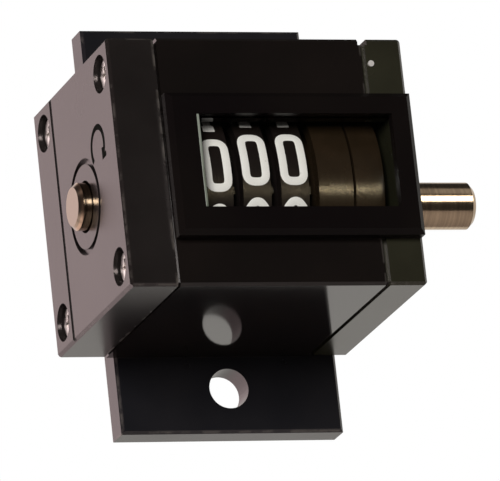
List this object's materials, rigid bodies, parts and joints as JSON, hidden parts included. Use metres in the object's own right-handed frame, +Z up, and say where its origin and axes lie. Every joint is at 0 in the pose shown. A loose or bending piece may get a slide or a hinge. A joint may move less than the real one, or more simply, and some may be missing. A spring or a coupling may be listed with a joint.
{
  "type": "shaft driven row counter",
  "caption": "Shaft-driven mechanical counter in a black box housing on a flanged back plate, with number wheels behind a window and a round drive shaft at the right.",
  "frame": {"origin": "centre of the two-hole pattern, on the rear face of the back plate", "axes": "+X towards the free end of the drive shaft, +Y out of the rear face into the machine, -Y is the reading face, +Z up, long side of the plate along Z"},
  "size_m": [0.0559, 0.0387, 0.0568],
  "materials": {
    "shell_black": "gloss black coat",
    "cap_black": "satin black anodised",
    "plate_black": "satin black anodised",
    "bezel_black": "gloss black",
    "clear_pane": "clear, polished",
    "bronze": "turned",
    "screw_steel": "bright",
    "dark_steel": "dark oiled",
    "shaft_steel": "ground and polished",
    "spacer_alu": "turned",
    "brass_part": "milled",
    "drum_black": "satin black",
    "wheel_black": "satin black, white numerals",
    "pinion_plastic": "natural"
  },
  "bodies": {
    "housing": {"housing_shell": "shell_black", "left_end_cap": "cap_black", "right_end_cap": "cap_black", "back_plate": "plate_black", "window_bezel": "bezel_black", "window_pane": "clear_pane", "left_bearing": "bronze", "right_bearing": "bronze", "left_cap_screws": "screw_steel", "right_cap_screws": "screw_steel", "plate_screws": "screw_steel", "cover_pin": "screw_steel", "pinion_rod": "screw_steel", "pinion_comb": "brass_part"},
    "drive": {"drive_shaft": "shaft_steel", "input_drum": "drum_black", "filler_drum": "drum_black", "drum_pins": "screw_steel", "shaft_collar": "shaft_steel", "collar_set_screw": "dark_steel", "stack_spacer": "spacer_alu", "retaining_ring": "dark_steel"},
    "units": {"units_wheel": "wheel_black"},
    "tens": {"tens_wheel": "wheel_black"},
    "hundreds": {"hundreds_wheel": "wheel_black"},
    "units_transfer": {"units_pinion": "pinion_plastic"},
    "tens_transfer": {"tens_pinion": "pinion_plastic"},
    "hundreds_transfer": {"hundreds_pinion": "pinion_plastic"}
  },
  "joints": [
    {"name": "drive_spin", "type": "hinge", "parent": "housing", "child": "drive", "pos_m": [0, -0.0215, -0.0023], "axis": [1, 0, 0], "continuous": true},
    {"name": "units_spin", "type": "hinge", "parent": "housing", "child": "units", "pos_m": [0, -0.0215, -0.0023], "axis": [1, 0, 0], "continuous": true},
    {"name": "tens_spin", "type": "hinge", "parent": "housing", "child": "tens", "pos_m": [0, -0.0215, -0.0023], "axis": [1, 0, 0], "continuous": true},
    {"name": "hundreds_spin", "type": "hinge", "parent": "housing", "child": "hundreds", "pos_m": [0, -0.0215, -0.0023], "axis": [1, 0, 0], "continuous": true},
    {"name": "units_pinion_spin", "type": "hinge", "parent": "housing", "child": "units_transfer", "pos_m": [0, -0.01071, 0.00805], "axis": [1, 0, 0], "continuous": true},
    {"name": "tens_pinion_spin", "type": "hinge", "parent": "housing", "child": "tens_transfer", "pos_m": [0, -0.01071, 0.00805], "axis": [1, 0, 0], "continuous": true},
    {"name": "hundreds_pinion_spin", "type": "hinge", "parent": "housing", "child": "hundreds_transfer", "pos_m": [0, -0.01071, 0.00805], "axis": [1, 0, 0], "continuous": true}
  ],
  "couplings": [
    {"joint": "units_spin", "follows": "drive_spin", "ratio": 0.1},
    {"joint": "tens_spin", "follows": "drive_spin", "ratio": 0.01},
    {"joint": "hundreds_spin", "follows": "drive_spin", "ratio": 0.001},
    {"joint": "units_pinion_spin", "follows": "drive_spin", "ratio": -0.33333},
    {"joint": "tens_pinion_spin", "follows": "drive_spin", "ratio": -0.033333},
    {"joint": "hundreds_pinion_spin", "follows": "drive_spin", "ratio": -0.0033333}
  ]
}
